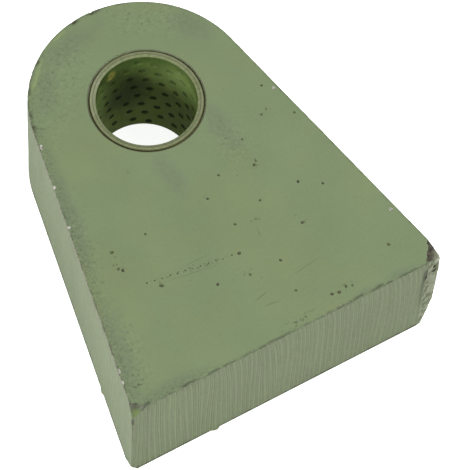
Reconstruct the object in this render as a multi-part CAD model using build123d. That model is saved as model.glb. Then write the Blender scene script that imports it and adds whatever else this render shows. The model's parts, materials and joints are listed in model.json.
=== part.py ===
from build123d import *

import math
import os

# Weld-on pivot lug: a flame-cut plate eye with a pressed-in wrapped bronze bush.
# Millimetres. The origin is on the bore axis at the lower face, +Z runs up the bore,
# and +Y points from the weld base to the rounded end of the eye.

# Plate
PLATE_THICKNESS = 40.0
BASE_TO_BORE = 86.2         # weld base to the bore axis
BASE_LEFT = 53.8            # bore axis to the left end of the base
BASE_RIGHT = 49.2           # bore axis to the right end of the base
EYE_RADIUS = 34.0
EYE_SHIFT_X = -0.8          # the cut outline sits a little off the machined bore
EYE_SHIFT_Y = 0.8
EDGE_BREAK = 0.4            # both faces, all round the outline
RUN_OUT_BASE = 5.2          # last stretch of the base cut, which leans in to the corner
RUN_OUT_SIDE = 0.9          # and what it takes off the side

# Bush
PIN_BORE = 30.0
BUSH_WALL = 2.0
BUSH_LEAD_LENGTH = 1.0      # outer press-in chamfer
BUSH_LEAD_DEPTH = 0.36
PIN_LEAD_LENGTH = 0.45      # inner chamfer that guides the pin
PIN_LEAD_DEPTH = 0.9
SEAM_GAP = 0.05             # butt joint of the wrapped strip, closed by the press fit
SEAM_ANGLE = 88.5           # where the butt joint lies, from +X towards +Y

# Grease pockets: a slanted lattice rolled into the strip before it is wrapped
POCKET_WIDTH = 2.4
POCKET_DEPTH = 0.45
POCKET_LAND = 0.1               # plain wall left between a pocket and the inner chamfer
POCKET_STEP = (4.76, -1.43)     # next pocket in a row: along the wall, up the bore
POCKET_ROW = (1.20, -5.12)      # next row: along the wall, up the bore
POCKET_START = (1.5, 13.8)      # the first pocket, from the butt joint and the lower end

# Fits that follow from the sizes above
SEAT_DIAMETER = PIN_BORE + 2 * BUSH_WALL    # line to line with the bush, a press fit
SEAT_LEAD = 0.6                             # chamfer that starts the bush into its seat
BUSH_LENGTH = PLATE_THICKNESS               # flush with both faces


def tangent_point(corner, side):
    """Where the straight side from a base corner meets the eye, side +1 right, -1 left."""
    to_corner = Vector(corner[0] - EYE_SHIFT_X, corner[1] - EYE_SHIFT_Y)
    bearing = math.atan2(to_corner.Y, to_corner.X)
    turn = math.acos(EYE_RADIUS / to_corner.length)
    angle = bearing + side * turn
    return eye_point(angle)


def eye_point(angle):
    """A point of the rounded end, at an angle in radians from +X."""
    return (
        EYE_SHIFT_X + EYE_RADIUS * math.cos(angle),
        EYE_SHIFT_Y + EYE_RADIUS * math.sin(angle),
    )


def towards(start, end, distance):
    """The point a distance from start on the way to end."""
    way = (Vector(*end) - Vector(*start)).normalized()
    point = Vector(*start) + way * distance
    return (point.X, point.Y)


def make_plate():
    left = (-BASE_LEFT, -BASE_TO_BORE)
    right = (BASE_RIGHT, -BASE_TO_BORE)
    left_tangent = tangent_point(left, -1)
    right_tangent = tangent_point(right, 1)
    base_end = towards(right, left, RUN_OUT_BASE)
    side_end = towards(right, right_tangent, RUN_OUT_SIDE)
    with BuildPart() as plate:
        with BuildSketch():
            with BuildLine():
                Polyline(left_tangent, left, base_end, side_end, right_tangent)
                ThreePointArc(right_tangent, eye_point(math.pi / 2), left_tangent)
            make_face()
            Circle(SEAT_DIAMETER / 2, mode=Mode.SUBTRACT)
        extrude(amount=PLATE_THICKNESS)
        rims = plate.faces().filter_by(Axis.Z).edges()
        chamfer(rims.filter_by(is_seat_rim), SEAT_LEAD)
        chamfer(rims.filter_by(is_seat_rim, reverse=True), EDGE_BREAK)
    return plate.part


def is_seat_rim(edge):
    return edge.geom_type == GeomType.CIRCLE and edge.radius < SEAT_DIAMETER / 2 + 0.01


def make_bush():
    inner = PIN_BORE / 2
    outer = SEAT_DIAMETER / 2
    profile = [
        (inner, PIN_LEAD_LENGTH),
        (inner + PIN_LEAD_DEPTH, 0),
        (outer - BUSH_LEAD_DEPTH, 0),
        (outer, BUSH_LEAD_LENGTH),
        (outer, BUSH_LENGTH - BUSH_LEAD_LENGTH),
        (outer - BUSH_LEAD_DEPTH, BUSH_LENGTH),
        (inner + PIN_LEAD_DEPTH, BUSH_LENGTH),
        (inner, BUSH_LENGTH - PIN_LEAD_LENGTH),
    ]
    with BuildPart() as bush:
        with BuildSketch(Plane.XZ):
            with BuildLine():
                Polyline(*profile, close=True)
            make_face()
        revolve(axis=Axis.Z)
        with Locations(Rotation(0, 0, SEAM_ANGLE)):
            Box(
                SEAT_DIAMETER,
                SEAM_GAP,
                BUSH_LENGTH,
                align=(Align.MIN, Align.CENTER, Align.MIN),
                mode=Mode.SUBTRACT,
            )
    return bush.part - pocket_tools()


def pocket_places():
    """Pocket centres as (distance along the wall from the butt joint, height)."""
    strip_length = math.pi * PIN_BORE
    end_margin = SEAM_GAP + POCKET_WIDTH / 8
    rim_margin = PIN_LEAD_LENGTH + POCKET_LAND + POCKET_WIDTH / 2
    reach = int(strip_length / POCKET_STEP[0]) + int(BUSH_LENGTH / abs(POCKET_ROW[1])) + 2
    places = []
    for row in range(-reach, reach + 1):
        for step in range(-reach, reach + 1):
            along = POCKET_START[0] + step * POCKET_STEP[0] + row * POCKET_ROW[0]
            height = POCKET_START[1] + step * POCKET_STEP[1] + row * POCKET_ROW[1]
            on_strip = end_margin < along < strip_length - end_margin
            if on_strip and rim_margin < height < BUSH_LENGTH - rim_margin:
                places.append((along, height))
    return places


def pocket_tools():
    """One ball for each pocket, set so that it cuts the width and depth that are named."""
    ball_radius = ((POCKET_WIDTH / 2) ** 2 + POCKET_DEPTH**2) / (2 * POCKET_DEPTH)
    ball_centre = PIN_BORE / 2 + POCKET_DEPTH - ball_radius
    tools = []
    for along, height in pocket_places():
        turn = SEAM_ANGLE - math.degrees(along / (PIN_BORE / 2))
        tools.append(Rot(0, 0, turn) * Pos(ball_centre, 0, height) * Sphere(ball_radius))
    return tools


os.makedirs("parts", exist_ok=True)
export_step(make_plate(), "parts/plate.step")
export_step(make_bush(), "parts/bush.step")
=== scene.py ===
import json
import math

import bmesh
import bpy
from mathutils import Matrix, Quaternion, Vector, noise


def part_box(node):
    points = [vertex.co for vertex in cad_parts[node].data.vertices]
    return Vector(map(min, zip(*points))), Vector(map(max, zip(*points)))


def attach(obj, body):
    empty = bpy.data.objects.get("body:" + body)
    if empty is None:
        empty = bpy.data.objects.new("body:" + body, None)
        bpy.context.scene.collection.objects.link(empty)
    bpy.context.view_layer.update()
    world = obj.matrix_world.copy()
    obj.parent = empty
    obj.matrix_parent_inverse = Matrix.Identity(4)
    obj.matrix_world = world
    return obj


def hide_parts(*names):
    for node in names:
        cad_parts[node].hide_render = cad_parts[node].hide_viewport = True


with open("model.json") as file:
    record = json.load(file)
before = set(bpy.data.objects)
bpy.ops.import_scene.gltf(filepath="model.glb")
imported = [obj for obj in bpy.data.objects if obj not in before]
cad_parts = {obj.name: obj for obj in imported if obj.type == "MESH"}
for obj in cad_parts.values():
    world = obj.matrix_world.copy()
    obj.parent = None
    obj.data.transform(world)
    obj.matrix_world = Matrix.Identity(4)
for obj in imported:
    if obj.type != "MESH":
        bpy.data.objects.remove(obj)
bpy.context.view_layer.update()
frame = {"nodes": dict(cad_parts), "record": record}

# Weld-on pivot lug: a flame-cut plate eye with a pressed-in wrapped bronze bush.
# Everything is in metres in the frame of the CAD model: the origin on the bore axis at
# the lower face, +Z up the bore, +Y from the weld base to the rounded end.
MM = 0.001

plate_low, plate_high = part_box("plate")
bush_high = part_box("bush")[1]
THICKNESS = plate_high.z
SEAT_RADIUS = bush_high.x
PIN_RADIUS = frame["record"]["mounts"][0]["dims"]["r_mm"] * MM
SEAT_LEAD = 0.6 * MM

# The same sizes as plain millimetres, for masks and for the noise that shapes the walls
TOP = THICKNESS / MM
PIN = PIN_RADIUS / MM
SEAT = SEAT_RADIUS / MM

# Chamfers of the bush, in millimetres across its wall
LEAD_DEPTH = 0.9            # the pin lead-in, inside
PRESS_IN_DEPTH = 0.36       # the press-in chamfer, outside

# Outline of the plate
EYE_RADIUS = 34 * MM
EYE_CENTRE = Vector((-0.8 * MM, plate_high.y - EYE_RADIUS, 0))
BASE_LEFT = Vector((plate_low.x, plate_low.y, 0))
BASE_RIGHT = Vector((49.2 * MM, plate_low.y, 0))
RUN_OUT_BASE = 5.2 * MM
RUN_OUT_SIDE = 0.9 * MM
EDGE_ROUND = 0.5 * MM

# Mesh of the walls, and the drag lines that the flame leaves in them
CIRCLE_COLUMNS = 380        # round a full circle of the eye's radius
BASE_PITCH = 0.25 * MM
SIDE_PITCH = 0.6 * MM
SLIVER = 0.01 * MM          # points closer than this are merged after the cuts
DRAG_PITCH = {"base": 1.6, "eye": 2.2, "left": 2.2, "right": 2.2}   # millimetres
MOST_SUNK = 1.4             # millimetres, the most that the flame takes off a wall
MOST_RAISED = 1.6           # millimetres, the most that slag adds to one


# --- Small helpers for modelling with operators ---

def only(piece):
    """Selects one object and nothing else."""
    bpy.ops.object.select_all(action="DESELECT")
    piece.select_set(True)
    bpy.context.view_layer.objects.active = piece


def edit(piece):
    """Opens a piece in edit mode with nothing selected."""
    only(piece)
    bpy.ops.object.mode_set(mode="EDIT")
    bpy.ops.mesh.select_all(action="DESELECT")


def pick(piece, kind, test):
    """Selects the vertices, edges or faces of the open piece that pass a test."""
    mesh = bmesh.from_edit_mesh(piece.data)
    bpy.ops.mesh.select_all(action="DESELECT")
    bpy.ops.mesh.select_mode(type=kind)
    items = {"VERT": mesh.verts, "EDGE": mesh.edges, "FACE": mesh.faces}[kind]
    for item in items:
        if test(item):
            item.select_set(True)
    mesh.select_flush_mode()
    bmesh.update_edit_mesh(piece.data)


def close_edit():
    bpy.ops.object.mode_set(mode="OBJECT")


def apply_modifier(piece, kind, **settings):
    only(piece)
    modifier = piece.modifiers.new(kind.lower(), kind)
    for name, value in settings.items():
        setattr(modifier, name, value)
    bpy.ops.object.modifier_apply(modifier=modifier.name)


def settle(piece, name):
    """Names a finished piece and puts its place into its mesh."""
    only(piece)
    bpy.ops.object.transform_apply(location=True, rotation=True, scale=True)
    piece.name = name
    piece.data.name = name
    return piece


# --- Plate: outline, walls and faces ---

def tangent_point(corner, side):
    """Where the straight side from a base corner meets the eye, side +1 right, -1 left."""
    away = corner - EYE_CENTRE
    bearing = math.atan2(away.y, away.x)
    angle = bearing + side * math.acos(EYE_RADIUS / away.length)
    return EYE_CENTRE + EYE_RADIUS * Vector((math.cos(angle), math.sin(angle), 0))


LEFT_TANGENT = tangent_point(BASE_LEFT, -1)
RIGHT_TANGENT = tangent_point(BASE_RIGHT, 1)
BASE_END = BASE_RIGHT + RUN_OUT_BASE * (BASE_LEFT - BASE_RIGHT).normalized()
SIDE_END = BASE_RIGHT + RUN_OUT_SIDE * (RIGHT_TANGENT - BASE_RIGHT).normalized()


def extend_from(plate, start, points):
    """Draws edges from the loose end nearest to start through the points."""
    mesh = bmesh.from_edit_mesh(plate.data)
    bpy.ops.mesh.select_all(action="DESELECT")
    nearest = min(mesh.verts, key=lambda vert: (vert.co - start).length)
    nearest.co = start
    nearest.select_set(True)
    bmesh.update_edit_mesh(plate.data)
    here = start
    for point in points:
        bpy.ops.mesh.extrude_vertices_move(TRANSFORM_OT_translate={"value": point - here})
        here = point


def divide_edge(plate, start, end, pitch):
    """Divides the straight edge between two corners into short columns."""
    middle = (start + end) / 2
    pick(plate, "EDGE", lambda edge: (edge_middle(edge) - middle).length < 1e-6)
    cuts = round((end - start).length / pitch) - 1
    bpy.ops.mesh.subdivide(number_cuts=cuts)


def edge_middle(edge):
    return (edge.verts[0].co + edge.verts[1].co) / 2


def row_heights():
    """Steps up the wall, short beside the two faces where the edges are ragged."""
    low_rows = [0.4, 0.5, 0.6, 0.8, 1.0, 1.2]
    middle_count = 18
    middle_height = THICKNESS - 2 * EDGE_ROUND - 2 * sum(low_rows) * MM
    middle_rows = [middle_height / middle_count] * middle_count
    edge_rows = [step * MM for step in low_rows]
    return edge_rows + middle_rows + edge_rows[::-1]


def round_over():
    """Turns the selected rim face inwards in three steps, as a quarter round."""
    turn = 30
    for step in range(3):
        start = math.radians(turn * step)
        end = math.radians(turn * (step + 1))
        bpy.ops.mesh.inset(
            thickness=EDGE_ROUND * (math.cos(start) - math.cos(end)),
            depth=EDGE_ROUND * (math.sin(end) - math.sin(start)),
        )


def draw_outline():
    """The cut outline as a loop of edges. Leaves the piece open in edit mode."""
    bpy.ops.mesh.primitive_circle_add(
        vertices=CIRCLE_COLUMNS, radius=EYE_RADIUS, fill_type="NOTHING", location=EYE_CENTRE
    )
    plate = settle(bpy.context.object, "plate_blank")
    edit(plate)
    chord = (LEFT_TANGENT - RIGHT_TANGENT).normalized()
    below = Vector((chord.y, -chord.x, 0))
    if below.y > 0:
        below = -below
    pick(plate, "VERT", lambda vert: (vert.co - LEFT_TANGENT).dot(below) > 0)
    bpy.ops.mesh.delete(type="VERT")
    extend_from(plate, LEFT_TANGENT, [BASE_LEFT, BASE_END])
    extend_from(plate, RIGHT_TANGENT, [SIDE_END])
    ends = (BASE_END, SIDE_END)
    pick(plate, "VERT", lambda vert: min((vert.co - end).length for end in ends) < 1e-6)
    bpy.ops.mesh.edge_face_add()
    divide_edge(plate, LEFT_TANGENT, BASE_LEFT, SIDE_PITCH)
    divide_edge(plate, BASE_LEFT, BASE_END, BASE_PITCH)
    divide_edge(plate, BASE_END, SIDE_END, BASE_PITCH)
    divide_edge(plate, SIDE_END, RIGHT_TANGENT, SIDE_PITCH)
    return plate


def draw_plate():
    """The outline, raised into walls with rows, and closed with two flat faces."""
    plate = draw_outline()
    bpy.ops.mesh.select_all(action="SELECT")
    bpy.ops.transform.translate(value=(0, 0, EDGE_ROUND))
    for step in row_heights():
        bpy.ops.mesh.extrude_region_move(TRANSFORM_OT_translate={"value": (0, 0, step)})
    bpy.ops.mesh.edge_face_add()
    bpy.ops.mesh.normals_make_consistent(inside=False)
    pick(plate, "FACE", lambda face: len(face.verts) > 4)
    round_over()
    pick(plate, "VERT", lambda vert: abs(vert.co.z - EDGE_ROUND) < 1e-7)
    bpy.ops.mesh.edge_face_add()
    bpy.ops.mesh.select_all(action="SELECT")
    bpy.ops.mesh.normals_make_consistent(inside=False)
    half = THICKNESS / 2
    pick(plate, "FACE", lambda face: len(face.verts) > 4 and face.calc_center_median().z < half)
    round_over()
    close_edit()
    return plate


LEFT_RUN = (LEFT_TANGENT - BASE_LEFT).length / MM   # length of the left wall


def wall_place(point):
    """Which wall a point of the outline is on, and how far along it, in millimetres.

    The left wall, the eye and the right wall are one run, measured from the left corner.
    """
    near_base = point.y < BASE_LEFT.y + 0.05 * MM
    torn = point.x > BASE_END.x and point.y < SIDE_END.y + 0.05 * MM
    if near_base or torn:
        return "base", (point.x - BASE_LEFT.x) / MM
    if point.y < LEFT_TANGENT.y and point.x < 0:
        return "left", (point - BASE_LEFT).length / MM
    if point.y < RIGHT_TANGENT.y and point.x > 0:
        arc = eye_run(RIGHT_TANGENT)
        return "right", LEFT_RUN + arc + (point - RIGHT_TANGENT).length / MM
    return "eye", LEFT_RUN + eye_run(point)


def eye_run(point):
    """Distance round the eye from the left tangent to a point, in millimetres."""
    start = math.atan2(LEFT_TANGENT.y - EYE_CENTRE.y, LEFT_TANGENT.x - EYE_CENTRE.x)
    angle = math.atan2(point.y - EYE_CENTRE.y, point.x - EYE_CENTRE.x)
    return (start - angle) % (2 * math.pi) * EYE_RADIUS / MM


def left_share(along):
    """1 at the left end of the base, where lines are straight and deep, and 0 far away."""
    return math.exp(-((along / 18) ** 2))


def drag_phase(wall, along, height):
    """Which drag line a point lies on: whole numbers are ridges, halves are grooves."""
    drop = 1 - height / TOP
    near_left = left_share(along) if wall == "base" else 0.5
    lag = 1.3 * (1 - math.exp(-drop / 0.12)) + 0.7 * drop
    place = along - (1 - 0.9 * near_left) * lag
    wander = 0.9 * noise.noise(Vector((place / 7, height / 50, 2.0)))
    return place / DRAG_PITCH[wall] + wander


def cut_depth(wall, along, height):
    """How far the flame cut lies inside the nominal outline, in millimetres."""
    phase = drag_phase(wall, along, height)
    ripple = 0.5 + 0.5 * noise.noise(Vector((along / 14, height / 16, 4.4)))
    strength = 0.6 + 0.8 * noise.noise(Vector((phase / 2.6, height / 90, 5.3)))
    wave = abs(math.sin(math.pi * phase)) * min(1, max(0.15, strength))
    if wall == "base":
        return (0.12 + 0.16 * left_share(along)) * wave + 0.10 * ripple
    if wall == "eye":
        return 0.14 * wave + 0.12 * ripple
    return 0.06 * wave + 0.10 * ripple


def edge_loss(wall, along, height):
    """Ragged loss beside the two faces, in millimetres."""
    top = math.exp(-(((TOP - height) / 0.9) ** 2))
    low = math.exp(-((height / 1.3) ** 2))
    nick = noise.noise(Vector((along / 1.9, 11.5, 0.3)))
    teeth = noise.noise(Vector((along / 1.1, 3.5, 6.1)))
    notch = 0.5 * max(0, nick - 0.12) if wall == "base" else 0.9 * max(0, nick - 0.08)
    return top * notch + low * (0.12 + 0.45 * max(0, teeth))


def dross(wall, along, height):
    """Beads of slag on the lower edge, and one lump on two of the walls, in millimetres."""
    low = math.exp(-(((height - 0.9) / 0.9) ** 2))
    bead = noise.noise(Vector((along / 1.7, 8.8, 2.2)))
    lumps = {"base": (28.4, 1.05), "left": (27.0, 0.6)}
    where, size = lumps.get(wall, (0, 0))
    lump = size * math.exp(-(((along - where) / 1.4) ** 2))
    return low * (0.6 * max(0, bead - 0.22) + lump)


def rough_run_out(along, height):
    """The torn end of the base cut, in millimetres."""
    spot = Vector((along / 1.6, height / 2.2, 12.0))
    fine = Vector((along / 0.7, height / 0.9, 2.0))
    return 0.35 * (0.5 + 0.5 * noise.noise(spot)) + 0.25 * max(0, noise.noise(fine))


def weight_group(plate, name, amounts, most):
    """A vertex group whose weights are the amounts as shares of the most there can be."""
    group = plate.vertex_groups.new(name=name)
    for index, amount in amounts.items():
        group.add([index], min(1, max(0, amount / most)), "REPLACE")
    return group.name


def mark_lines(plate, phases):
    """Keeps the drag line of each point, for the paint to follow."""
    lines = plate.data.attributes.new("drag_phase", "FLOAT", "POINT")
    for index, phase in phases.items():
        lines.data[index].value = phase


def flame_cut(plate):
    """Sinks the drag lines into the walls, raises the dross, and roughens the run-out."""
    sunk, raised, phases = {}, {}, {}
    # The last rings of the rounded edges, next to the two faces, stay where they are
    lowest, highest = EDGE_ROUND * 0.6, THICKNESS - EDGE_ROUND * 0.2
    run_out = (BASE_END.x - BASE_LEFT.x) / MM
    for vert in plate.data.vertices:
        flat = Vector((vert.co.x, vert.co.y, 0))
        height = vert.co.z / MM
        wall, along = wall_place(flat)
        phases[vert.index] = drag_phase(wall, along, height)
        if not lowest < vert.co.z < highest:
            continue
        depth = cut_depth(wall, along, height) + edge_loss(wall, along, height)
        if wall == "base" and along > run_out:
            blend = min(1, along - run_out)
            depth += blend * rough_run_out(along, height)
        sunk[vert.index] = depth
        raised[vert.index] = dross(wall, along, height)
    mark_lines(plate, phases)
    sink = weight_group(plate, "cut_lines", sunk, MOST_SUNK)
    lift = weight_group(plate, "dross", raised, MOST_RAISED)
    apply_modifier(plate, "DISPLACE", vertex_group=sink, mid_level=0, strength=-MOST_SUNK * MM)
    apply_modifier(plate, "DISPLACE", vertex_group=lift, mid_level=0, strength=MOST_RAISED * MM)
    plate.vertex_groups.clear()


# --- Cutters: the seat bore, broken corners, dents, chips and gouges ---

def seat_cutter():
    """A plug with flared ends that cuts the seat and its two lead-in chamfers."""
    past = 1 * MM
    flare = (SEAT_RADIUS + SEAT_LEAD + past) / SEAT_RADIUS
    bpy.ops.mesh.primitive_circle_add(
        vertices=160, radius=SEAT_RADIUS * flare, fill_type="NGON", location=(0, 0, -past)
    )
    cutter = settle(bpy.context.object, "seat_cutter")
    edit(cutter)
    bpy.ops.mesh.select_all(action="SELECT")
    rises = [past + SEAT_LEAD, THICKNESS - 2 * SEAT_LEAD, past + SEAT_LEAD]
    scales = [1 / flare, 1, flare]
    height = -past
    for rise, scale in zip(rises, scales):
        bpy.ops.mesh.extrude_region_move(TRANSFORM_OT_translate={"value": (0, 0, rise)})
        height += rise
        bpy.ops.transform.resize(value=(scale, scale, 1), center_override=(0, 0, height))
    bpy.ops.mesh.select_all(action="SELECT")
    bpy.ops.mesh.normals_make_consistent(inside=False)
    close_edit()
    return cutter


def clouds(name, size):
    texture = bpy.data.textures.new(name, "CLOUDS")
    texture.noise_scale = size
    texture.noise_depth = 3
    return texture


def corner_cutter(name, first, second, third, rough, material):
    """A torn-faced block that breaks a corner off through three points, in millimetres."""
    points = [Vector(point) * MM for point in (first, second, third)]
    outward = (points[1] - points[0]).cross(points[2] - points[0]).normalized()
    middle = sum(points, Vector()) / 3
    if outward.dot(middle - Vector((0, middle.y * 0.5, THICKNESS / 2))) < 0:
        outward = -outward
    size = 16 * MM
    bpy.ops.mesh.primitive_cube_add(
        size=size,
        location=middle + outward * size / 2,
        rotation=outward.to_track_quat("Z", "Y").to_euler(),
    )
    cutter = settle(bpy.context.object, name)
    edit(cutter)
    bpy.ops.mesh.select_all(action="SELECT")
    bpy.ops.mesh.subdivide(number_cuts=30)
    close_edit()
    texture = clouds(name, 1.6 * MM)
    apply_modifier(
        cutter, "DISPLACE", texture=texture, texture_coords="GLOBAL", mid_level=0.5,
        strength=rough * MM,
    )
    cutter.data.materials.append(material)
    return cutter


def stone_cutter(name, place, size, turn, seed, material):
    """An uneven pebble that leaves a chip or a dent. Place and size are in millimetres."""
    bpy.ops.mesh.primitive_ico_sphere_add(
        subdivisions=2, radius=1, location=Vector(place) * MM,
        rotation=(0, 0, math.radians(turn)), scale=Vector(size) * MM,
    )
    cutter = settle(bpy.context.object, name)
    edit(cutter)
    bpy.ops.mesh.select_all(action="SELECT")
    bpy.ops.transform.vertex_random(offset=0.12 * min(size) * MM, seed=seed)
    close_edit()
    cutter.data.materials.append(material)
    return cutter


def cut_with(piece, cutters):
    """Joins the cutters and takes them out of the piece."""
    only(cutters[0])
    for cutter in cutters:
        cutter.select_set(True)
    if len(cutters) > 1:
        bpy.ops.object.join()
    apply_modifier(
        piece, "BOOLEAN", object=cutters[0], operation="DIFFERENCE", solver="EXACT",
        material_mode="TRANSFER",
    )
    bpy.data.objects.remove(cutters[0])


def clean_facets(piece):
    """Merges the slivers that cuts leave, and divides every face into clean triangles."""
    edit(piece)
    bpy.ops.mesh.select_all(action="SELECT")
    bpy.ops.mesh.remove_doubles(threshold=SLIVER)
    bpy.ops.mesh.select_all(action="SELECT")
    bpy.ops.mesh.quads_convert_to_tris(quad_method="BEAUTY", ngon_method="BEAUTY")
    close_edit()


# --- Node helpers ---

def add(tree, kind, inputs=None, **settings):
    """Adds a node, sets it, and feeds its sockets with values or other sockets."""
    made = tree.nodes.new(kind)
    for name, value in settings.items():
        setattr(made, name, value)
    for name, value in (inputs or {}).items():
        socket = made.inputs[name]
        if isinstance(value, bpy.types.NodeSocket):
            tree.links.new(value, socket)
        else:
            socket.default_value = value
    return made


def calc(tree, operation, first, second=0.0, third=0.0):
    made = add(tree, "ShaderNodeMath", {0: first, 1: second, 2: third}, operation=operation)
    return made.outputs[0]


def spread(tree, value, low, high, to_low=0.0, to_high=1.0):
    """Maps low..high smoothly to to_low..to_high."""
    made = add(
        tree, "ShaderNodeMapRange",
        {"Value": value, "From Min": low, "From Max": high, "To Min": to_low, "To Max": to_high},
        interpolation_type="SMOOTHSTEP",
    )
    return made.outputs["Result"]


def tint(tree, amount, first, second):
    """The first colour where the amount is 0, and the second where it is 1."""
    colours = {"Factor": amount, 6: first, 7: second}
    return add(tree, "ShaderNodeMix", colours, data_type="RGBA").outputs[2]


def stain(tree, colour, mask, share, stained):
    """Covers a colour with another where the mask is, by a share."""
    return tint(tree, calc(tree, "MULTIPLY", mask, share), colour, stained)


def speckle(tree, vector, scale, detail=4.0, rough=0.5, stretch=None):
    """A noise value 0 to 1 at so many grains per millimetre."""
    if stretch:
        vector = add(
            tree, "ShaderNodeVectorMath", {0: vector, 1: stretch}, operation="MULTIPLY"
        ).outputs[0]
    made = add(
        tree, "ShaderNodeTexNoise",
        {"Vector": vector, "Scale": scale, "Detail": detail, "Roughness": rough},
    )
    return made.outputs["Fac"]


def new_group(name, inputs, outputs):
    """A node group with named sockets. Returns the tree and its input sockets."""
    tree = bpy.data.node_groups.new(name, "ShaderNodeTree")
    for label, kind in inputs:
        tree.interface.new_socket(label, in_out="INPUT", socket_type=kind)
    for label, kind in outputs:
        tree.interface.new_socket(label, in_out="OUTPUT", socket_type=kind)
    return tree, tree.nodes.new("NodeGroupInput").outputs


def end_group(tree, results):
    out = tree.nodes.new("NodeGroupOutput")
    for label, socket in results.items():
        tree.links.new(socket, out.inputs[label])
    return tree


def use_group(tree, group, inputs):
    return add(tree, "ShaderNodeGroup", inputs, node_tree=group).outputs


VALUE, VECTOR, COLOUR = "NodeSocketFloat", "NodeSocketVector", "NodeSocketColor"


def split(tree, vector):
    return add(tree, "ShaderNodeSeparateXYZ", {0: vector}).outputs


def line_distance(tree, axes, start, end):
    """How far inside a line a point lies, with the plate on the line's left, in millimetres."""
    way = (end - start).normalized()
    inward = Vector((-way.y, way.x))
    across = calc(tree, "MULTIPLY", axes[0], inward.x)
    reach = calc(tree, "MULTIPLY_ADD", axes[1], inward.y, across)
    return calc(tree, "SUBTRACT", reach, (start.x * inward.x + start.y * inward.y) / MM)


EYE_ARC_START = 7.0   # millimetres past the eye's centre, below which its arc isn't the edge
FAR_AWAY = 100.0      # millimetres, more than any distance to the outline


def outline_group():
    """How far a point of the plate lies inside its cut outline, in millimetres."""
    tree, given = new_group("distance_to_outline", [("Place", VECTOR)], [("Distance", VALUE)])
    axes = split(tree, given["Place"])
    left = line_distance(tree, axes, LEFT_TANGENT, BASE_LEFT)
    base = line_distance(tree, axes, BASE_LEFT, BASE_END)
    end = line_distance(tree, axes, BASE_END, SIDE_END)
    right = line_distance(tree, axes, SIDE_END, RIGHT_TANGENT)
    across = calc(tree, "SUBTRACT", axes[0], EYE_CENTRE.x / MM)
    along = calc(tree, "SUBTRACT", axes[1], EYE_CENTRE.y / MM)
    squares = calc(tree, "MULTIPLY_ADD", across, across, calc(tree, "MULTIPLY", along, along))
    eye = calc(tree, "SUBTRACT", EYE_RADIUS / MM, calc(tree, "SQRT", squares))
    below = calc(tree, "SUBTRACT", 1.0, calc(tree, "GREATER_THAN", along, EYE_ARC_START))
    eye = calc(tree, "ADD", eye, calc(tree, "MULTIPLY", below, FAR_AWAY))
    sides = calc(tree, "MINIMUM", right, end)
    nearest = calc(tree, "MINIMUM", calc(tree, "MINIMUM", left, base), sides)
    return end_group(tree, {"Distance": calc(tree, "MINIMUM", nearest, eye)})


def ragged_group():
    """A ragged-edged mask: 1 where the distance is under a width, broken up by noise."""
    tree, given = new_group(
        "ragged_mask",
        [
            ("Distance", VALUE), ("Width", VALUE), ("Place", VECTOR), ("Grain", VALUE),
            ("Ragged", VALUE),
        ],
        [("Mask", VALUE)],
    )
    grains = speckle(tree, given["Place"], given["Grain"], 5.0, 0.6)
    shift = calc(tree, "MULTIPLY", calc(tree, "SUBTRACT", grains, 0.5), given["Ragged"])
    level = calc(tree, "DIVIDE", calc(tree, "ADD", given["Distance"], shift), given["Width"])
    return end_group(tree, {"Mask": spread(tree, level, 0.6, 1.2, 1.0, 0.0)})


def mottle_group():
    """Cloudy and fine variation of a colour."""
    tree, given = new_group(
        "mottled_tint",
        [("Place", VECTOR), ("Colour", COLOUR), ("Cloudy", VALUE), ("Fine", VALUE)],
        [("Colour", COLOUR)],
    )
    cloud = calc(tree, "SUBTRACT", speckle(tree, given["Place"], 0.055, 3.0), 0.5)
    small = calc(tree, "SUBTRACT", speckle(tree, given["Place"], 1.4, 3.0, 0.6), 0.5)
    fine = calc(tree, "MULTIPLY", small, given["Fine"])
    lift = calc(tree, "ADD", calc(tree, "MULTIPLY_ADD", cloud, given["Cloudy"], fine), 1.0)
    made = add(tree, "ShaderNodeHueSaturation", {"Color": given["Colour"], "Value": lift})
    return end_group(tree, {"Colour": made.outputs[0]})


OUTLINE = outline_group()
RAGGED = ragged_group()
MOTTLE = mottle_group()


def new_material(name):
    """A Principled material and its coordinates in millimetres."""
    material = bpy.data.materials.new(name)
    material.use_nodes = True
    tree = material.node_tree
    place = add(tree, "ShaderNodeTexCoord").outputs["Object"]
    scaled = add(tree, "ShaderNodeVectorMath", {0: place, "Scale": 1 / MM}, operation="SCALE")
    return material, tree, tree.nodes["Principled BSDF"], scaled.outputs[0]


def rough_bump(tree, shader, height, distance):
    """Feeds a height to the shader's normal, at so many millimetres for a height of 1."""
    made = add(tree, "ShaderNodeBump", {"Height": height, "Distance": distance * MM})
    tree.links.new(made.outputs[0], shader.inputs["Normal"])


# Colours of the plate
SAGE = (0.167, 0.220, 0.111, 1)
GREY_SAGE = (0.176, 0.214, 0.116, 1)
# Painted light: the paler colour of the walls that face left
LEFT_LIT_SAGE = (0.204, 0.246, 0.147, 1)
PALE_SAGE = (0.252, 0.295, 0.174, 1)
YELLOW_SAGE = (0.187, 0.226, 0.103, 1)
SMEAR_GREY = (0.132, 0.166, 0.104, 1)
# Dark wear, and painted shade in the grooves of the drag lines and at dark wall marks
WORN_AND_SHADE_DARK = (0.060, 0.070, 0.040, 1)
# Dirt and painted shade for the groove between the seat and the bush
SEAT_GROOVE_DIRT_AND_SHADE = (0.105, 0.088, 0.032, 1)
BARE_STEEL = (0.42, 0.42, 0.37, 1)
BRIGHT_STREAK = (0.260, 0.320, 0.120, 1)
SCUFFED_GREY = (0.300, 0.285, 0.235, 1)

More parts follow.
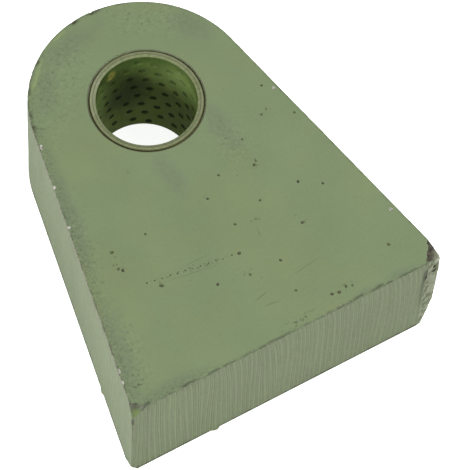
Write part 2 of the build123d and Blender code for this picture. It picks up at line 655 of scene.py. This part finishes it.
# Colours of the torn, chipped, burnt and dented places
TORN_PALE = (0.310, 0.340, 0.235, 1)
TORN_DARK = (0.130, 0.155, 0.082, 1)
TORN_BRIGHT = (0.460, 0.480, 0.390, 1)
CHIPPED_GREY = (0.125, 0.145, 0.095, 1)
CHIPPED_DARK = (0.075, 0.078, 0.052, 1)
CHIPPED_GREEN = (0.130, 0.180, 0.058, 1)
BURNT_BROWN = (0.100, 0.095, 0.062, 1)
BURNT_BLACK = (0.035, 0.030, 0.022, 1)
DENT_OLIVE = (0.120, 0.135, 0.068, 1)
DENT_DARK = (0.050, 0.054, 0.028, 1)
CHIP_STEEL = (0.62, 0.62, 0.57, 1)
CHIP_SHADE = (0.24, 0.23, 0.18, 1)

# Colours of the bush
DUSTED_BRONZE = (0.300, 0.385, 0.104, 1)
OVERSPRAY = (0.054, 0.098, 0.016, 1)
BORE_SHADE = (0.026, 0.050, 0.013, 1)
# Overspray with painted light, for the lit patches on the bore walls
LIT_OVERSPRAY = (0.160, 0.235, 0.064, 1)
POCKET_DARK = (0.016, 0.022, 0.008, 1)
# Bare bronze with a painted glint
BARE_BRONZE_GLINT = (0.44, 0.42, 0.09, 1)
RIM_PALE = (0.196, 0.210, 0.108, 1)
RIM_GREEN = (0.140, 0.172, 0.074, 1)
RIM_GLINT = (0.42, 0.40, 0.31, 1)
RIM_CLEAN = (0.30, 0.31, 0.19, 1)


def on_face(across, along, length, width, turn):
    """A mark on the upper face: its middle, half sizes and turn, in millimetres."""
    return ((across, along, TOP), (length, width, 4), turn)


# Soft grey smears in the paint, worn places along the edge, rough patches, thin scratches,
# and clusters of specks
SMEARS = [
    on_face(-11, 27, 14, 5, 12), on_face(-24, 18, 9, 4, 55), on_face(-6.5, -25, 10, 4.5, 96),
    on_face(14.5, -18, 13, 5, 97), on_face(-38, -22, 30, 3.5, 78), on_face(-47, -66, 20, 5, 77),
    on_face(-40, -84, 14, 3, 2), on_face(24, 16, 9, 5, -60),
    on_face(25, -85, 7, 1.6, 0), on_face(-36, -85.3, 5, 1.2, 0), on_face(35, -84.8, 7, 1.5, 0),
]
EDGE_NICKS = [
    on_face(1.2, 34.0, 3.2, 1.0, -3), on_face(-5.4, 33.6, 2.2, 1.0, 8),
    on_face(9, 33.0, 2.5, 0.6, -17), on_face(-21.7, 26.7, 1.8, 0.8, 39),
    on_face(-28.7, 19.0, 1.8, 0.8, 57), on_face(-32.2, 12.0, 2.2, 0.8, 70),
    on_face(-33.5, 7.7, 1.8, 1.0, 77), on_face(-36, -85.8, 3.4, 0.7, 2),
    on_face(21, -85.8, 2.6, 0.7, -4), on_face(27.5, -85.8, 2.2, 0.8, 4),
    on_face(-49, -85.6, 2.4, 0.8, 2), on_face(-8, -85.9, 3, 0.5, 0),
]
EDGE_STREAK = [on_face(-24.5, 22.5, 8, 0.8, 46), on_face(-12, 31.6, 4, 0.6, 19)]
ROUGH_PATCHES = [
    on_face(-20, 18, 26, 13, 48), on_face(14, 24, 18, 9, -35), on_face(-46, -70, 18, 8, 77),
    on_face(-40, -35, 30, 5, 78), on_face(15, -24, 12, 8, 90),
]
SCRATCHES = [
    on_face(-14, -53, 6, 0.16, 0), on_face(6.3, -54, 2.0, 0.22, 84),
    on_face(-3.5, -72, 3.4, 0.25, 12), on_face(-2, -75.5, 3.0, 0.25, -8),
    on_face(-31.8, 6.5, 2.4, 0.4, -30), on_face(-17, -56, 11, 0.14, -9),
    on_face(12, -70, 7, 0.16, 8),
]
CLUSTERS = [
    on_face(-34.2, -43, 3.2, 2.4, 80), on_face(16.8, -33.6, 2.6, 2.0, 40),
    on_face(18.0, -81.4, 6.0, 1.8, 2), on_face(-26.7, -54.6, 2.0, 1.8, 0),
    on_face(-16, -54.6, 15, 1.4, -9), on_face(19, -57, 2.4, 1.8, 60),
    on_face(-2, -37.5, 2.6, 1.8, 20), on_face(28, -20, 3, 2, 0), on_face(7, -50, 2.8, 1.8, 0),
    on_face(-3, -64, 3.0, 1.6, 10), on_face(2, -84, 9, 2.2, 2), on_face(-48, -78, 6, 3.4, 70),
]
# Marks that aren't on the upper face: middle, half sizes and turn, in millimetres
# Dirt and painted shade at the seam of the torn end and beside the left gouge
WALL_DIRT_AND_SHADE = [
    ((43.3, -86.2, 26), (1.0, 1.6, 16), 0), ((43.8, -86.4, 33), (1.3, 1.6, 4), 0),
    ((-53.6, -86.0, 33), (0.8, 1.2, 6), 0),
]
TORN_SPOTS = [
    ((48.4, -86.2, 36.0), (2.6, 2.6, 1.6), 0), ((48.9, -86.0, 22), (1.0, 1.6, 6), 0),
]
CHIPPED_SPOTS = [((-52.4, -86.0, 37.3), (2.4, 2.4, 2.2), 0)]
BURNT_SPOTS = [((49.2, -86.2, 36.8), (5.5, 5.5, 3.4), 0)]
BORE_SHADOW = [((1, 15, 21), (12, 6, 13), 0)]
# Overspray patches made lighter as painted light on the bore walls
SPRAYED_AND_LIT_BORE = [((-9, 12, 27), (6, 6, 11), 0), ((14, 3, 32), (5, 11, 9), 0)]
# A painted glint on bare bronze inside the bore
BARE_GLINT_BORE = [((-3.7, 14.5, 35.4), (2.3, 1.6, 2.8), 15)]
CLEAN_RIM = [((-13, 10, 40), (9, 13, 4), 0)]


def marks(tree, place, items, ragged, grain):
    """A mask, 1 at the middle of each mark in the list and 0 outside it."""
    stray = calc(tree, "SUBTRACT", speckle(tree, place, grain, 4.0, 0.6), 0.5)
    shift = calc(tree, "MULTIPLY", stray, ragged)
    mask = None
    for middle, size, turn in items:
        local = add(
            tree, "ShaderNodeMapping",
            {
                "Vector": place,
                "Location": middle,
                "Rotation": (0, 0, math.radians(turn)),
                "Scale": size,
            },
            vector_type="TEXTURE",
        )
        reach = add(tree, "ShaderNodeVectorMath", {0: local.outputs[0]}, operation="LENGTH")
        one = spread(tree, calc(tree, "ADD", reach.outputs["Value"], shift), 0.2, 1.1, 1.0, 0.0)
        mask = one if mask is None else calc(tree, "MAXIMUM", mask, one)
    return mask


def both(tree, first, second, share=1.0):
    """Two masks multiplied, and a share of the result."""
    return calc(tree, "MULTIPLY", calc(tree, "MULTIPLY", first, second), share)


def bore_reach(tree, axes):
    """Distance from the bore axis, in millimetres."""
    across = calc(tree, "MULTIPLY", axes[0], axes[0])
    return calc(tree, "SQRT", calc(tree, "MULTIPLY_ADD", axes[1], axes[1], across))


def flat_paint(tree, place, ground):
    """The paint away from the edges: smears, scratches and specks."""
    warm = spread(tree, speckle(tree, place, 0.035, 3.0, 0.6), 0.42, 0.62)
    ground = stain(tree, ground, warm, 0.5, YELLOW_SAGE)
    mottle = {"Place": place, "Colour": ground, "Cloudy": 0.22, "Fine": 0.15}
    colour = use_group(tree, MOTTLE, mottle)["Colour"]
    smears = marks(tree, place, SMEARS, 1.3, 0.13)
    streaky = spread(tree, speckle(tree, place, 0.7, 6.0, 0.75), 0.35, 0.65, 0.35, 1.0)
    colour = tint(tree, both(tree, smears, streaky, 0.65), colour, SMEAR_GREY)
    scale = speckle(tree, place, 0.75, 6.0, 0.8)
    patches = marks(tree, place, ROUGH_PATCHES, 1.2, 0.15)
    dark_grains = spread(tree, scale, 0.53, 0.64)
    pale_grains = spread(tree, scale, 0.47, 0.36)
    colour = tint(tree, both(tree, patches, dark_grains, 0.50), colour, WORN_AND_SHADE_DARK)
    colour = tint(tree, both(tree, patches, pale_grains, 0.46), colour, PALE_SAGE)
    nicks = marks(tree, place, EDGE_NICKS, 1.2, 0.9)
    colour = stain(tree, colour, nicks, 0.75, WORN_AND_SHADE_DARK)
    streak = marks(tree, place, EDGE_STREAK, 0.8, 0.8)
    colour = stain(tree, colour, streak, 0.5, BRIGHT_STREAK)
    scratches = marks(tree, place, SCRATCHES, 0.7, 1.5)
    colour = stain(tree, colour, scratches, 0.42, WORN_AND_SHADE_DARK)
    grains = spread(tree, speckle(tree, place, 0.85, 4.0, 0.65), 0.55, 0.62)
    clusters = marks(tree, place, CLUSTERS, 0.4, 0.6)
    colour = tint(tree, both(tree, clusters, grains, 0.75), colour, WORN_AND_SHADE_DARK)
    stray = spread(tree, speckle(tree, place, 0.62, 5.0, 0.6), 0.68, 0.74)
    return stain(tree, colour, stray, 0.45, WORN_AND_SHADE_DARK)


def wall_paint(tree, place, ground, clear):
    """The paint on the cut walls. Ridges of the drag lines get painted light and grooves painted
    shade, strongest where the lines are clear.
    """
    mottle = {"Place": place, "Colour": ground, "Cloudy": 0.20, "Fine": 0.08}
    colour = use_group(tree, MOTTLE, mottle)["Colour"]
    phase = add(tree, "ShaderNodeAttribute", attribute_name="drag_phase").outputs["Fac"]
    turn = calc(tree, "MULTIPLY", phase, math.pi)
    wave = calc(tree, "ABSOLUTE", calc(tree, "SINE", turn))
    faster = calc(tree, "MULTIPLY_ADD", turn, 2.3, 0.7)
    finer = calc(tree, "ABSOLUTE", calc(tree, "SINE", faster))
    axes = split(tree, place)
    along_line = add(
        tree, "ShaderNodeCombineXYZ",
        {0: calc(tree, "MULTIPLY", phase, 0.9), 1: calc(tree, "MULTIPLY", axes[2], 0.04), 2: 3.0},
    ).outputs[0]
    uneven = spread(tree, speckle(tree, along_line, 1.0, 2.0, 0.6), 0.38, 0.62, 0.15, 1.0)
    strong = calc(tree, "MULTIPLY", uneven, clear)
    # Painted light on the ridges of the drag lines and painted shade in their grooves, stronger
    # on walls facing the front
    ridge = spread(tree, wave, 0.15, 0.62, 1.0, 0.0)
    hollow = spread(tree, wave, 0.75, 0.98)
    fine_ridge = spread(tree, finer, 0.1, 0.6, 1.0, 0.0)
    colour = tint(tree, both(tree, ridge, strong, 0.27), colour, PALE_SAGE)
    colour = tint(tree, both(tree, hollow, strong, 0.17), colour, WORN_AND_SHADE_DARK)
    colour = tint(tree, both(tree, fine_ridge, strong, 0.14), colour, PALE_SAGE)
    grime = spread(tree, speckle(tree, place, 0.5, 5.0, 0.7, (1.0, 1.0, 0.3)), 0.55, 0.7)
    colour = stain(tree, colour, grime, 0.15, WORN_AND_SHADE_DARK)
    scuffed = spread(tree, calc(tree, "MULTIPLY_ADD", grime, 1.5, axes[2]), 37.0, 39.2)
    scuffed = calc(tree, "MULTIPLY", scuffed, spread(tree, clear, 0.4, 0.9, 0.45, 0.0))
    colour = tint(tree, scuffed, colour, SCUFFED_GREY)
    # Dirt and painted shade at the seam of the torn end and beside the left gouge
    dirt_and_shade = marks(tree, place, WALL_DIRT_AND_SHADE, 0.9, 0.7)
    lines = calc(tree, "MULTIPLY_ADD", fine_ridge, 0.5, ridge)
    return stain(tree, colour, dirt_and_shade, 0.6, WORN_AND_SHADE_DARK), lines


def edge_wear(tree, place, axes, colour):
    """Nicks, grime and bare specks along both edges of the outline, and a darker band along the
    lower edge.
    """
    inside = use_group(tree, OUTLINE, {"Place": place})["Distance"]
    near_face = calc(tree, "MINIMUM", calc(tree, "SUBTRACT", TOP, axes[2]), axes[2])
    edge = calc(tree, "ADD", inside, near_face)
    left_side = spread(tree, axes[0], -20.0, -32.0)
    reach = calc(tree, "MULTIPLY_ADD", left_side, 3.0, 1.4)
    band = spread(tree, calc(tree, "DIVIDE", edge, reach), 0.1, 1.0, 1.0, 0.0)
    grit = spread(tree, speckle(tree, place, 1.3, 6.0, 0.75), 0.46, 0.62)
    share = calc(tree, "MULTIPLY_ADD", left_side, 0.12, 0.42)
    colour = stain(tree, colour, both(tree, band, grit), share, WORN_AND_SHADE_DARK)
    patchy = spread(tree, speckle(tree, place, 0.3, 5.0, 0.65), 0.40, 0.62, 0.10, 0.75)
    worn = use_group(
        tree, RAGGED,
        {"Distance": edge, "Width": patchy, "Place": place, "Grain": 2.6, "Ragged": 1.6},
    )["Mask"]
    colour = stain(tree, colour, worn, 0.55, WORN_AND_SHADE_DARK)
    sparks = spread(tree, speckle(tree, place, 0.8, 4.0), 0.64, 0.70)
    colour = tint(tree, both(tree, worn, sparks, 0.7), colour, BARE_STEEL)
    # Darker in a ragged band along the lower edge
    low = use_group(
        tree, RAGGED,
        {"Distance": axes[2], "Width": 0.7, "Place": place, "Grain": 1.3, "Ragged": 1.8},
    )["Mask"]
    return stain(tree, colour, low, 0.45, WORN_AND_SHADE_DARK)


def paint_material():
    """Matt sage-green primer, thin over the cut walls and worn off the edges."""
    material, tree, shader, place = new_material("painted_plate")
    axes = split(tree, place)
    facing = split(tree, add(tree, "ShaderNodeNewGeometry").outputs["Normal"])
    wall = spread(tree, calc(tree, "ABSOLUTE", facing[2]), 0.5, 0.9, 1.0, 0.0)
    to_front = calc(tree, "MULTIPLY", facing[1], -1.0)
    # Painted light: walls that face left are paler and lighter
    to_left = spread(tree, facing[0], -0.5, -0.9)
    ground = tint(tree, to_left, GREY_SAGE, LEFT_LIT_SAGE)
    walls, lines = wall_paint(tree, place, ground, spread(tree, to_front, 0.5, 0.9, 0.35, 1.0))
    colour = tint(tree, wall, flat_paint(tree, place, SAGE), walls)
    colour = edge_wear(tree, place, axes, colour)
    # Dirt and painted shade in the groove round the seat
    from_seat = calc(tree, "SUBTRACT", bore_reach(tree, axes), SEAT)
    dirt_and_shade = use_group(
        tree, RAGGED,
        {"Distance": from_seat, "Width": 0.30, "Place": place, "Grain": 0.5, "Ragged": 0.5},
    )["Mask"]
    colour = stain(tree, colour, dirt_and_shade, 0.72, SEAT_GROOVE_DIRT_AND_SHADE)
    tree.links.new(colour, shader.inputs["Base Color"])
    rough = spread(tree, speckle(tree, place, 0.8, 4.0), 0.3, 0.7, 0.55, 0.70)
    tree.links.new(rough, shader.inputs["Roughness"])
    shader.inputs["Specular IOR Level"].default_value = 0.3
    peel = speckle(tree, place, 1.1, 5.0, 0.55)
    height = calc(tree, "MULTIPLY_ADD", speckle(tree, place, 3.5, 2.0, 0.5), 0.3, peel)
    height = calc(tree, "MULTIPLY_ADD", calc(tree, "MULTIPLY", lines, wall), 1.6, height)
    rough_bump(tree, shader, height, 0.06)
    return material


def scar_material(name, colour, dark, grain, low=0.38, high=0.62, spots=None, spot_colour=None):
    """Torn, chipped or pitted places, lighter or darker than the paint."""
    material, tree, shader, place = new_material(name)
    patches = spread(tree, speckle(tree, place, grain, 5.0, 0.65), low, high)
    made = tint(tree, patches, dark, colour)
    if spots:
        made = tint(tree, marks(tree, place, spots, 0.8, 0.5), made, spot_colour)
    mottle = {"Place": place, "Colour": made, "Cloudy": 0.1, "Fine": 0.3}
    mottled = use_group(tree, MOTTLE, mottle)["Colour"]
    tree.links.new(mottled, shader.inputs["Base Color"])
    shader.inputs["Roughness"].default_value = 0.75
    shader.inputs["Specular IOR Level"].default_value = 0.25
    rough_bump(tree, shader, speckle(tree, place, 1.6, 6.0, 0.65), 0.25)
    return material


def bore_finish(tree, place, axes, reach, spray_noise):
    """Bronze with green overspray that thins out down the bore, and dark pockets. Painted shade
    darkens the far wall, overspray patches carry painted light, and bare bronze a painted glint.
    """
    mottle = {"Place": place, "Colour": DUSTED_BRONZE, "Cloudy": 0.5, "Fine": 0.35}
    bronze = use_group(tree, MOTTLE, mottle)["Colour"]
    depth = calc(tree, "SUBTRACT", TOP, axes[2])
    patchy_depth = calc(tree, "MULTIPLY_ADD", spray_noise, 26.0, depth)
    colour = tint(tree, spread(tree, patchy_depth, 10.0, 44.0, 1.0, 0.2), bronze, OVERSPRAY)
    shade = marks(tree, place, BORE_SHADOW, 0.8, 0.12)
    colour = stain(tree, colour, shade, 0.62, BORE_SHADE)
    # Painted light: lighter patches of overspray on the two side walls of the bore
    sprayed_and_lit = marks(tree, place, SPRAYED_AND_LIT_BORE, 1.4, 0.22)
    colour = stain(tree, colour, sprayed_and_lit, 0.8, LIT_OVERSPRAY)
    in_pocket = spread(tree, reach, PIN + 0.04, PIN + 0.24)
    patchy_height = calc(tree, "MULTIPLY_ADD", spray_noise, 8.0, axes[2])
    clear = spread(tree, patchy_height, 22.0, 40.0, 0.85, 0.3)
    colour = stain(tree, colour, in_pocket, clear, POCKET_DARK)
    # A painted glint on bare bronze
    bare_glint = marks(tree, place, BARE_GLINT_BORE, 0.9, 0.5)
    return stain(tree, colour, bare_glint, 0.8, BARE_BRONZE_GLINT)


def rim_finish(tree, place, reach):
    """The flat ends of the bush: pale green with bright flecks, and dirt in the step."""
    flecks = spread(tree, speckle(tree, place, 0.7, 5.0, 0.7), 0.38, 0.62)
    colour = tint(tree, flecks, RIM_PALE, RIM_GREEN)
    glints = spread(tree, speckle(tree, place, 1.3, 4.0, 0.6), 0.60, 0.68)
    clean = marks(tree, place, CLEAN_RIM, 0.6, 0.3)
    bare = calc(tree, "MULTIPLY_ADD", clean, 0.45, 0.45)
    colour = stain(tree, colour, glints, bare, RIM_GLINT)
    colour = stain(tree, colour, clean, 0.4, RIM_CLEAN)
    from_step = calc(tree, "ABSOLUTE", calc(tree, "SUBTRACT", reach, PIN + LEAD_DEPTH))
    return tint(tree, spread(tree, from_step, 0.0, 0.24, 0.7, 0.0), colour, WORN_AND_SHADE_DARK)


def bronze_material():
    """Wrapped bronze with overspray, brighter rims, and grime and painted shade round the seat.
    """
    material, tree, shader, place = new_material("bronze")
    axes = split(tree, place)
    reach = bore_reach(tree, axes)
    spray_noise = speckle(tree, place, 0.22, 5.0, 0.65)
    half = TOP / 2
    from_middle = calc(tree, "ABSOLUTE", calc(tree, "SUBTRACT", axes[2], half))
    rim = spread(tree, from_middle, half - 0.48, half - 0.36)
    bore_colour = bore_finish(tree, place, axes, reach, spray_noise)
    colour = tint(tree, rim, bore_colour, rim_finish(tree, place, reach))
    # Dirt and painted shade in the groove round the seat, on the press-in chamfer
    outer = spread(tree, reach, SEAT - PRESS_IN_DEPTH, SEAT - PRESS_IN_DEPTH / 2)
    colour = stain(tree, colour, outer, 0.8, SEAT_GROOVE_DIRT_AND_SHADE)
    tree.links.new(colour, shader.inputs["Base Color"])
    tree.links.new(spread(tree, spray_noise, 0.3, 0.7, 0.45, 0.65), shader.inputs["Roughness"])
    shader.inputs["Specular IOR Level"].default_value = 0.3
    dents = speckle(tree, place, 1.2, 4.0, 0.6, (1.0, 1.0, 2.5))
    rough_bump(tree, shader, dents, 0.06)
    return material


# --- The pieces ---

# Dents in the upper face: across, along, and half width, in millimetres
PITS = [
    (-33.8, -39.0, 0.55), (-34.8, -44.6, 0.45), (-33.9, -45.6, 0.5), (-22.5, -38.5, 0.4),
    (-26.7, -55.2, 0.6), (-2.0, -57.0, 0.55), (-12.5, -62.7, 0.5), (-2.8, -64.5, 0.45),
    (7.2, -64.7, 0.45), (1.7, -48.3, 0.4), (19.0, -57.2, 0.5), (16.5, -34.0, 0.5),
    (17.6, -33.1, 0.35), (5.7, -32.0, 0.4), (-1.0, -37.2, 0.4), (12.0, -45.0, 0.4),
    (24.8, -45.0, 0.45), (30.8, -49.0, 0.4), (6.0, -75.2, 0.4), (14.4, -81.3, 0.5),
    (16.6, -81.8, 0.55), (19.2, -81.1, 0.45), (21.0, -81.7, 0.4), (37.0, -75.5, 0.5),
    (32.0, -12.0, 0.4), (17.8, -25.0, 0.4), (27.0, -20.5, 0.4), (35.8, -24.5, 0.4),
    (0.2, 34.3, 0.85), (-5.8, 33.9, 0.8), (-33.8, 7.8, 0.6), (-22.2, 26.9, 0.5),
]
# Chips on the upper edge: across, along, half length along the edge, turn in degrees
CHIPS = [
    (-34.6, 1.0, 0.9, 80), (-37.9, -12.5, 0.6, 78), (-40.6, -26.0, 0.6, 78),
    (-50.6, -73.0, 0.9, 78), (-51.6, -76.5, 0.8, 78), (43.6, -66.0, 0.7, 100),
    (34.7, -14.5, 0.7, 100),
]
# Gouges in the torn right corner and beside the left one: place and half sizes
GOUGES = [
    ((47.0, -85.3, 33.6), (0.7, 0.7, 0.8)), ((47.3, -85.2, 30.8), (0.8, 0.7, 0.9)),
    ((44.3, -86.2, 34.0), (0.5, 0.4, 1.2)), ((44.2, -86.1, 30.6), (0.5, 0.4, 1.6)),
    ((44.8, -86.2, 26.5), (0.4, 0.35, 1.0)), ((-51.6, -84.6, 40.0), (1.1, 0.7, 0.5)),
    ((-53.6, -86.0, 33.6), (0.6, 0.6, 2.0)), ((-50.2, -86.1, 39.9), (0.8, 0.4, 0.5)),
]
# Broken corners of the base: three points of the broken face in millimetres, how rough it
# is, and its finish
CORNERS = {
    "right_top": ((43.4, -86.2, TOP), (47.9, -79.6, TOP), (48.9, -85.8, 36.6), 1.5, "burnt"),
    "right_low": ((45.0, -86.2, 0), (48.5, -82.3, 0), (49.0, -85.4, 14.0), 0.7, "torn"),
    "left_low": ((-51.3, -86.2, 0), (-52.8, -81.3, 0), (-53.8, -86.2, 4.2), 0.5, "paint"),
    "left_top": ((-49.4, -86.2, TOP), (-53.1, -82.5, TOP), (-53.8, -86.2, 35.2), 1.1, "chipped"),
}


def scratch_pits():
    """The dotted scratch across the upper face, as a row of small dents."""
    start, end = Vector((-30.0, -52.5)), Vector((-4.4, -56.6))
    count = 12
    row = []
    for step in range(count):
        place = start.lerp(end, step / (count - 1))
        stray = noise.noise(Vector((step * 1.7, 0.5, 0.5)))
        row.append((place.x + 0.6 * stray, place.y + 0.3 * stray, 0.26 + 0.08 * stray))
    return row


def run_out_faces(plate):
    """The torn end of the base cut takes the second material."""
    base_end, side_end = BASE_END.x - 0.2 * MM, SIDE_END.y + 0.3 * MM
    for face in plate.data.polygons:
        middle = face.center
        if middle.x > base_end and middle.y < side_end and abs(face.normal.z) < 0.7:
            face.material_index = 1


def plate_finishes():
    """The paint, and a finish for each kind of damage."""
    return {
        "paint": paint_material(),
        "torn": scar_material(
            "torn_steel", TORN_PALE, TORN_DARK, 0.45, 0.40, 0.56, TORN_SPOTS, TORN_BRIGHT
        ),
        "chipped": scar_material(
            "chipped_paint", CHIPPED_GREY, CHIPPED_DARK, 0.7, 0.4, 0.6, CHIPPED_SPOTS,
            CHIPPED_GREEN,
        ),
        "burnt": scar_material(
            "burnt_scale", BURNT_BROWN, BURNT_BLACK, 0.8, 0.38, 0.62, BURNT_SPOTS, TORN_PALE
        ),
        "dent": scar_material("paint_in_dents", DENT_OLIVE, DENT_DARK, 0.9),
        "bare": scar_material("bare_chips", CHIP_STEEL, CHIP_SHADE, 0.9),
    }


def break_corners(plate, finishes):
    cutters = []
    for name, (first, second, third, rough, finish) in CORNERS.items():
        cutters.append(corner_cutter(name, first, second, third, rough, finishes[finish]))
    cut_with(plate, cutters)


def dent_face(plate, finishes):
    """Shallow dents in the upper face, with the dotted scratch among them."""
    dents = []
    for index, (across, along, half) in enumerate(PITS + scratch_pits()):
        place = (across, along, TOP + 0.2 * half)
        size = (half * 1.25, half, half * 0.6)
        turn = 37 * index
        dents.append(stone_cutter(f"dent_{index}", place, size, turn, index, finishes["dent"]))
    cut_with(plate, dents)


def chip_edges(plate, finishes):
    """Bare chips along the upper edge."""
    chips = []
    for index, (across, along, half, turn) in enumerate(CHIPS):
        place = (across, along, TOP + 0.05)
        size = (half, 0.5, 0.55)
        chips.append(
            stone_cutter(f"chip_{index}", place, size, turn, 60 + index, finishes["bare"])
        )
    cut_with(plate, chips)


def gouge_corners(plate, finishes):
    """Gouges beside the two broken corners, burnt on the right and chipped on the left."""
    gouges = []
    for index, (place, size) in enumerate(GOUGES):
        finish = finishes["burnt" if place[0] > 0 else "chipped"]
        gouges.append(
            stone_cutter(f"gouge_{index}", place, size, 23 * index, 80 + index, finish)
        )
    cut_with(plate, gouges)


def make_plate():
    finishes = plate_finishes()
    plate = draw_plate()
    plate.data.materials.append(finishes["paint"])
    plate.data.materials.append(finishes["torn"])
    run_out_faces(plate)
    flame_cut(plate)
    cut_with(plate, [seat_cutter()])
    break_corners(plate, finishes)
    dent_face(plate, finishes)
    chip_edges(plate, finishes)
    gouge_corners(plate, finishes)
    clean_facets(plate)
    only(plate)
    bpy.ops.object.shade_smooth_by_angle(angle=math.radians(38))
    apply_modifier(plate, "WEIGHTED_NORMAL", keep_sharp=True)
    plate = settle(plate, "flame_cut_plate")
    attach(plate, "root")
    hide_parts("plate")


def finish_bush():
    """The CAD bush has the right shape and takes its bronze."""
    bush = frame["nodes"]["bush"]
    bush.data.materials.clear()
    bush.data.materials.append(bronze_material())


# --- Floor, light and camera ---

def make_stage():
    """A pale floor that looks white from the camera and throws little light back."""
    bpy.ops.mesh.primitive_plane_add(size=4, location=(0, 0, 0))
    floor = settle(bpy.context.object, "floor")
    material, tree, shader, _ = new_material("pale_floor")
    shader.inputs["Base Color"].default_value = (0.9, 0.9, 0.9, 1)
    shader.inputs["Roughness"].default_value = 0.9
    seen = add(tree, "ShaderNodeLightPath").outputs["Is Camera Ray"]
    unseen_glow, extra_glow = 0.10, 0.76
    glow = calc(tree, "MULTIPLY_ADD", seen, extra_glow, unseen_glow)
    shader.inputs["Emission Color"].default_value = (1, 1, 1, 1)
    tree.links.new(glow, shader.inputs["Emission Strength"])
    floor.data.materials.append(material)


def soft_light(name, place, size, power):
    """A square soft box that faces the middle of the plate."""
    light = bpy.data.lights.new(name, "AREA")
    light.shape = "SQUARE"
    light.size = size
    light.energy = power
    holder = bpy.data.objects.new(name, light)
    bpy.context.scene.collection.objects.link(holder)
    holder.location = Vector(place)
    target = Vector((0, plate_low.y * 0.4, THICKNESS / 2))
    holder.rotation_mode = "QUATERNION"
    holder.rotation_quaternion = (target - holder.location).to_track_quat("-Z", "Y")


def make_light():
    world = bpy.data.worlds.new("studio")
    bpy.context.scene.world = world
    world.use_nodes = True
    sky = world.node_tree.nodes["Background"]
    sky.inputs["Color"].default_value = (1, 1, 1, 1)
    sky.inputs["Strength"].default_value = 0.45
    soft_light("key", place=(-1.15, -0.55, 0.55), size=0.5, power=13.5)
    soft_light("top", place=(0.75, -0.10, 1.2), size=0.7, power=12)
    bpy.context.scene.view_settings.view_transform = "Standard"


def make_camera():
    camera = bpy.data.cameras.new("camera")
    holder = bpy.data.objects.new("camera", camera)
    bpy.context.scene.collection.objects.link(holder)
    azimuth, elevation, roll = math.radians(-34.8), math.radians(61.6), math.radians(5.0)
    back = Vector((
        math.sin(azimuth) * math.cos(elevation),
        -math.cos(azimuth) * math.cos(elevation),
        math.sin(elevation),
    ))
    aim = Vector((-0.0001, -0.0513, THICKNESS))
    distance = 1.0134
    holder.location = aim + back * distance
    holder.rotation_mode = "QUATERNION"
    turn = Quaternion((0, 0, 1), roll)
    holder.rotation_quaternion = (-back).to_track_quat("-Z", "Y") @ turn
    camera.sensor_width = 36
    camera.lens = 270.1
    camera.clip_start = 0.01
    camera.clip_end = 20
    bpy.context.scene.camera = holder


make_camera()
make_light()
make_stage()
make_plate()
finish_bush()
